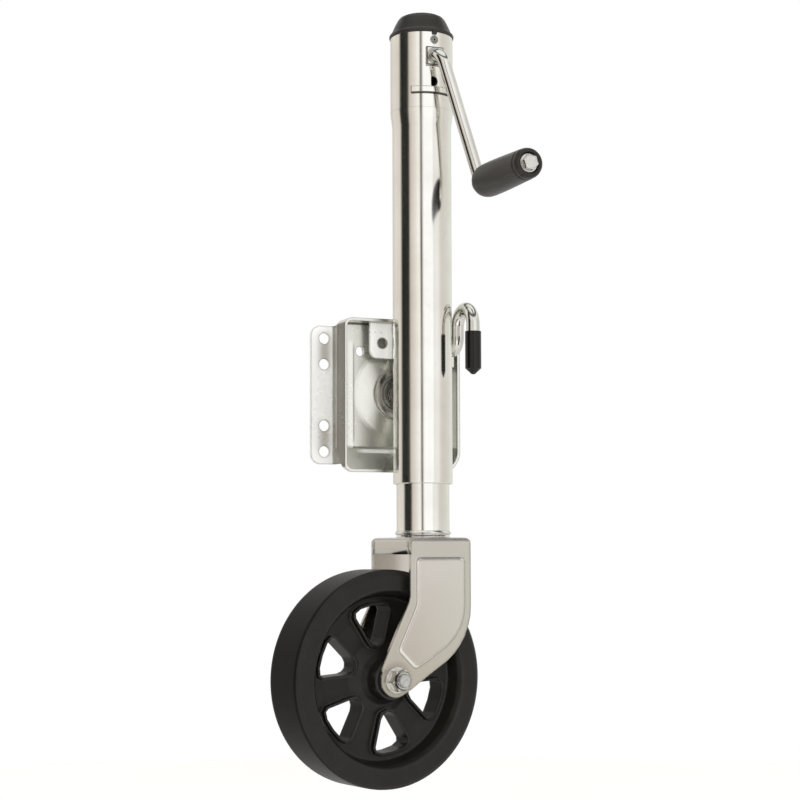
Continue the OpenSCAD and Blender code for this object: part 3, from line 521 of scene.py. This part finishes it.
# painted shade: the walls inside the windows get a darker base colour and less specular
facing = wheel_mat.t.nodes.new("ShaderNodeVectorMath")
facing.operation = "DOT_PRODUCT"
wheel_mat.t.links.new(wheel_mat.t.nodes.new("ShaderNodeTexCoord").outputs["Normal"], facing.inputs[0])
facing.inputs[1].default_value = (math.sin(TURN), -math.cos(TURN), 0)
inner = mul(wheel_mat, band(wheel_mat, facing.outputs["Value"], 0.0, 0.45, 0.25), band(wheel_mat, rad, 0.050, 0.0225, 0.003))
wheel_mat.set("Base Color", wheel_mat.mixc(mul(wheel_mat, inner, 0.85), wheel_mat.b.inputs["Base Color"].links[0].from_socket, (0.0040, 0.0034, 0.0026)))
wheel_mat.set("Specular IOR Level", mathn(wheel_mat, "MULTIPLY", wheel_mat.b.inputs["Specular IOR Level"].links[0].from_socket, mathn(wheel_mat, "SUBTRACT", 1.0, mul(wheel_mat, inner, 0.62))))
scuff = wheel_mat.noise(320, 5, 0.7)
groove = band(wheel_mat, rad, 0.0992, 0.0001, 0.0006)
wheel_mat.set("Normal", wheel_mat.bump(mathn(wheel_mat, "SUBTRACT", 1.0, groove), 0.35, 0.0008, wheel_mat.bump(scuff, 0.08, 0.0006, wheel_mat.grainy)))
bush_mat = plastic("grey_bushing", (0.030, 0.029, 0.028), (0.05, 0.048, 0.046), 0.4, 0.55, 900, 0.12)
wear_mat = plastic("wear_ring_black", (0.010, 0.010, 0.0095), (0.02, 0.019, 0.018), 0.26, 0.4, 800, 0.1)

LOOK = [
    (tube_mat, ["outer_tube", "inner_tube"]),
    (rod_mat, ["pull_pin", "crank_rod", "foot_flange"]),
    (bolt_mat, ["axle_bolt"]),
    (fork_mat, ["fork"]),
    (pan_mat, ["swivel_pan", "pivot_washer", "bearing_support"]),
    (plate_mat, ["mount_plate"]),
    (hub_mat, ["pivot_hub", "hub_rivet"]),
    (weld_mat, ["weld_beads"]),
    (coil_mat, ["cap_pin"]),
    (small_mat, ["pin_clip", "pinion_pin", "crank_clip", "grip_bolt", "grip_washer",
                 "gear_pin", "screw_ring", "nut_rivets", "kingpin", "kingpin_washer", "axle_washers", "axle_sleeve",
                 "swivel_race_upper", "swivel_race_lower"]),
    (steel_mat, ["pin_spring", "bearing_race_lower", "bearing_race_upper", "bearing_balls", "swivel_balls", "lead_screw", "pinion", "bevel_gear"]),
    (boss_mat, ["boss_plate"]),
    (nut_mat, ["axle_nut"]),
    (collar_mat, ["crank_bushings"]),
    (bronze_mat, ["drive_nut"]),
    (cap_mat, ["cap", "guide_ring"]),
    (wear_mat, ["wear_ring"]),
    (grip_mat, ["grip"]),
    (vinyl_mat, ["pin_sleeve"]),
    (wheel_mat, ["wheel"]),
    (bush_mat, ["hub_bushings"]),
]
done = set()
for mat, names in LOOK:
    for n in names:
        o = nodes[n]
        o.data.materials.clear()
        o.data.materials.append(mat.m)
        done.add(n)
assert done == set(nodes), set(nodes) - done

# ---------------------------------------------------------------- return spring
# The CAD has it as a stack of rings; here it is one wound wire with closed ends.
lo_c, hi_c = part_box("pin_spring")
sx, sz = (lo_c[0] + hi_c[0]) / 2, (lo_c[2] + hi_c[2]) / 2
wire = 0.00074
y_pin, y_ear = hi_c[1] - wire, lo_c[1] + wire
coil_r = (hi_c[0] - lo_c[0]) / 2 - 0.00078
bm = bmesh.new()
turns, per, seg = 6.0, 40, 14
rows = []
total = int(turns * per)
for k in range(total + 1):
    t = k / total
    a = 2 * math.pi * turns * t
    # closed end coils, open middle
    u = min(max((t - 0.13) / 0.74, 0.0), 1.0)
    endrise = 0.06
    f = endrise * min(t / 0.13, 1.0) + (1 - 2 * endrise) * u + endrise * max((t - 0.87) / 0.13, 0.0)
    y = y_pin + (y_ear - y_pin) * f
    c = Vector((sx + coil_r * math.cos(a), y, sz + coil_r * math.sin(a)))
    rad = Vector((math.cos(a), 0, math.sin(a)))
    tan = Vector((-math.sin(a), 0, math.cos(a)))
    side = rad.cross(tan).normalized()
    rows.append([bm.verts.new(c + (rad * math.cos(q) + side * math.sin(q)) * wire) for q in (2 * math.pi * i / seg for i in range(seg))])
for a, b in zip(rows, rows[1:]):
    for i in range(seg):
        bm.faces.new((a[i], a[(i + 1) % seg], b[(i + 1) % seg], b[i]))
bm.faces.new(rows[0][::-1])
bm.faces.new(rows[-1])
bmesh.ops.recalc_face_normals(bm, faces=bm.faces[:])
for f in bm.faces:
    f.smooth = len(f.verts) == 4
me = bpy.data.meshes.new("pin_spring_coil")
bm.to_mesh(me)
bm.free()
coil = bpy.data.objects.new("pin_spring_coil", me)
bpy.context.scene.collection.objects.link(coil)
me.materials.append(steel_mat.m)
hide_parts("pin_spring")
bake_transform(coil)

# ---------------------------------------------------------------- floor
# The mount holds the jack, so the floor lies where the wheel reaches it with the leg fully down.
low = min(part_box("wheel")[0][2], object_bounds()[0][2])
me = bpy.data.meshes.new("floor")
bm = bmesh.new()
bmesh.ops.create_circle(bm, cap_ends=True, segments=96, radius=2.4)
bm.to_mesh(me)
bm.free()
floor = bpy.data.objects.new("floor", me)
floor.location = (0, 0, low - 0.254 - 0.0002)
bpy.context.scene.collection.objects.link(floor)
fm = Mat("pale_floor")
fm.set("Base Color", fm.ramp(fm.noise(1.2, 2), [(0.3, (0.86, 0.86, 0.85)), (0.7, (0.89, 0.89, 0.88))]))
fm.set("Roughness", 0.9).set("Specular IOR Level", 0.1)
# the lift to white is for the camera only, so bright metal reflects a floor that is a little grey
seen = fm.t.nodes.new("ShaderNodeLightPath").outputs["Is Camera Ray"]
fm.set("Emission Color", (1.0, 1.0, 0.995)).set("Emission Strength", mathn(fm, "ADD", mathn(fm, "MULTIPLY", seen, 0.31), 0.02))
me.materials.append(fm.m)
floor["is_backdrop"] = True
